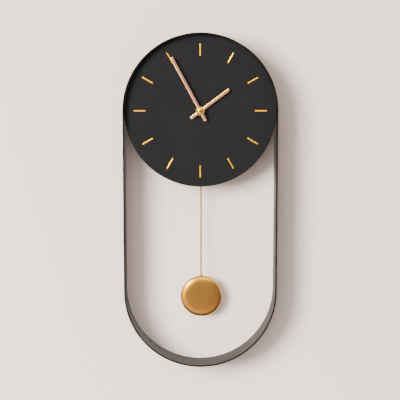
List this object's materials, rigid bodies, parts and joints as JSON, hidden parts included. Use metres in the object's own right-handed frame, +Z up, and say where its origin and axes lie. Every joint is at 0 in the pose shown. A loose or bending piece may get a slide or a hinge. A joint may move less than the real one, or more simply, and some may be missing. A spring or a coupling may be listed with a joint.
{
  "type": "pendulum wall clock",
  "caption": "Quartz wall clock: a black steel hoop holds a round dial with bar markers, and a brass disc pendulum swings in the open lower half",
  "frame": {"origin": "centre of the keyhole's round entry hole, on the hanger plate's rear face, in the plane of the wall", "axes": "+X to the right seen from the front, +Z up along the clock's height, +Y from the clock into the wall, so the dial faces -Y"},
  "size_m": [0.203, 0.0502, 0.4395],
  "materials": {
    "black_steel": "fine-textured matte black powder coat",
    "dial_black": "matte black paint",
    "marker_gold": "satin gold plate",
    "rose_gold": "satin rose gold",
    "rod_gold": "drawn brass, lacquered",
    "satin_gold": "satin gold, fine brushed",
    "bright_brass": "polished",
    "zinc_steel": "zinc plate",
    "plain_steel": "ground steel",
    "magnet_nickel": "nickel plate",
    "black_rubber": "matte",
    "case_plastic": "moulded, fine texture",
    "white_plastic": "moulded acetal",
    "chip_black": "matte moulded",
    "board_green": "solder-masked board",
    "copper_wire": "enamelled copper wire",
    "battery_jacket": "glossy shrink jacket"
  },
  "bodies": {
    "clock_case": {"frame_band": "black_steel", "hanger_plate": "black_steel", "dial_tabs": "black_steel", "dial_plate": "dial_black", "hour_markers": "marker_gold", "dial_studs": "zinc_steel", "dial_washers": "zinc_steel", "dial_nuts": "zinc_steel", "rubber_washer": "black_rubber", "brass_washer": "bright_brass", "fixing_nut": "bright_brass", "centre_bush": "bright_brass", "movement_front_case": "case_plastic", "movement_rear_case": "case_plastic", "case_screws": "zinc_steel", "train_plate": "white_plastic", "circuit_board": "board_green", "quartz_crystal": "plain_steel", "control_chip": "chip_black", "coil_bobbin": "white_plastic", "motor_coil": "copper_wire", "motor_core": "plain_steel", "stator_plate": "plain_steel", "battery": "battery_jacket", "battery_contact_plus": "zinc_steel", "battery_contact_minus": "zinc_steel", "drive_coil": "copper_wire", "drive_board": "board_green", "pivot_pin": "plain_steel"},
    "minute_works": {"minute_arbor": "plain_steel", "minute_hand": "rose_gold", "hand_nut": "bright_brass"},
    "hour_works": {"hour_wheel": "white_plastic", "hour_hand": "rose_gold"},
    "motion_works": {"motion_wheel": "white_plastic", "setting_knob": "case_plastic"},
    "centre_wheel": {"centre_wheel": "white_plastic"},
    "third_wheel": {"third_wheel": "white_plastic"},
    "fourth_wheel": {"fourth_wheel": "white_plastic"},
    "intermediate_wheel": {"intermediate_wheel": "white_plastic"},
    "rotor": {"rotor": "magnet_nickel"},
    "pendulum": {"swing_arm": "white_plastic", "arm_magnet": "magnet_nickel", "pendulum_hanger": "bright_brass", "pendulum_rod": "rod_gold", "rod_clamp": "zinc_steel", "bob_shell": "satin_gold", "bob_back_plate": "satin_gold"}
  },
  "joints": [
    {"name": "minute_spin", "type": "hinge", "parent": "clock_case", "child": "minute_works", "pos_m": [0, -0.035, -0.075], "axis": [0, 1, 0], "continuous": true},
    {"name": "hour_spin", "type": "hinge", "parent": "clock_case", "child": "hour_works", "pos_m": [0, -0.035, -0.075], "axis": [0, 1, 0], "continuous": true},
    {"name": "setting_spin", "type": "hinge", "parent": "clock_case", "child": "motion_works", "pos_m": [-0.01039, -0.035, -0.081], "axis": [0, 1, 0], "continuous": true},
    {"name": "seconds_spin", "type": "hinge", "parent": "clock_case", "child": "fourth_wheel", "pos_m": [0.00575, -0.035, -0.08856], "axis": [0, 1, 0], "continuous": true},
    {"name": "third_spin", "type": "hinge", "parent": "clock_case", "child": "third_wheel", "pos_m": [0.00883, -0.035, -0.0801], "axis": [0, 1, 0], "continuous": true},
    {"name": "centre_spin", "type": "hinge", "parent": "clock_case", "child": "centre_wheel", "pos_m": [0, -0.035, -0.075], "axis": [0, 1, 0], "continuous": true},
    {"name": "intermediate_spin", "type": "hinge", "parent": "clock_case", "child": "intermediate_wheel", "pos_m": [-0.00286, -0.035, -0.09008], "axis": [0, 1, 0], "continuous": true},
    {"name": "rotor_spin", "type": "hinge", "parent": "clock_case", "child": "rotor", "pos_m": [-0.0085, -0.035, -0.09213], "axis": [0, 1, 0], "continuous": true},
    {"name": "pendulum_swing", "type": "hinge", "parent": "clock_case", "child": "pendulum", "pos_m": [0.0012, -0.035, -0.089], "axis": [0, 1, 0], "range_deg": [-10, 10]}
  ],
  "couplings": [
    {"joint": "hour_spin", "follows": "minute_spin", "ratio": 0.083333},
    {"joint": "setting_spin", "follows": "minute_spin", "ratio": -0.33333},
    {"joint": "third_spin", "follows": "seconds_spin", "ratio": -0.125},
    {"joint": "centre_spin", "follows": "seconds_spin", "ratio": 0.016667},
    {"joint": "intermediate_spin", "follows": "seconds_spin", "ratio": -6},
    {"joint": "rotor_spin", "follows": "seconds_spin", "ratio": 30}
  ]
}
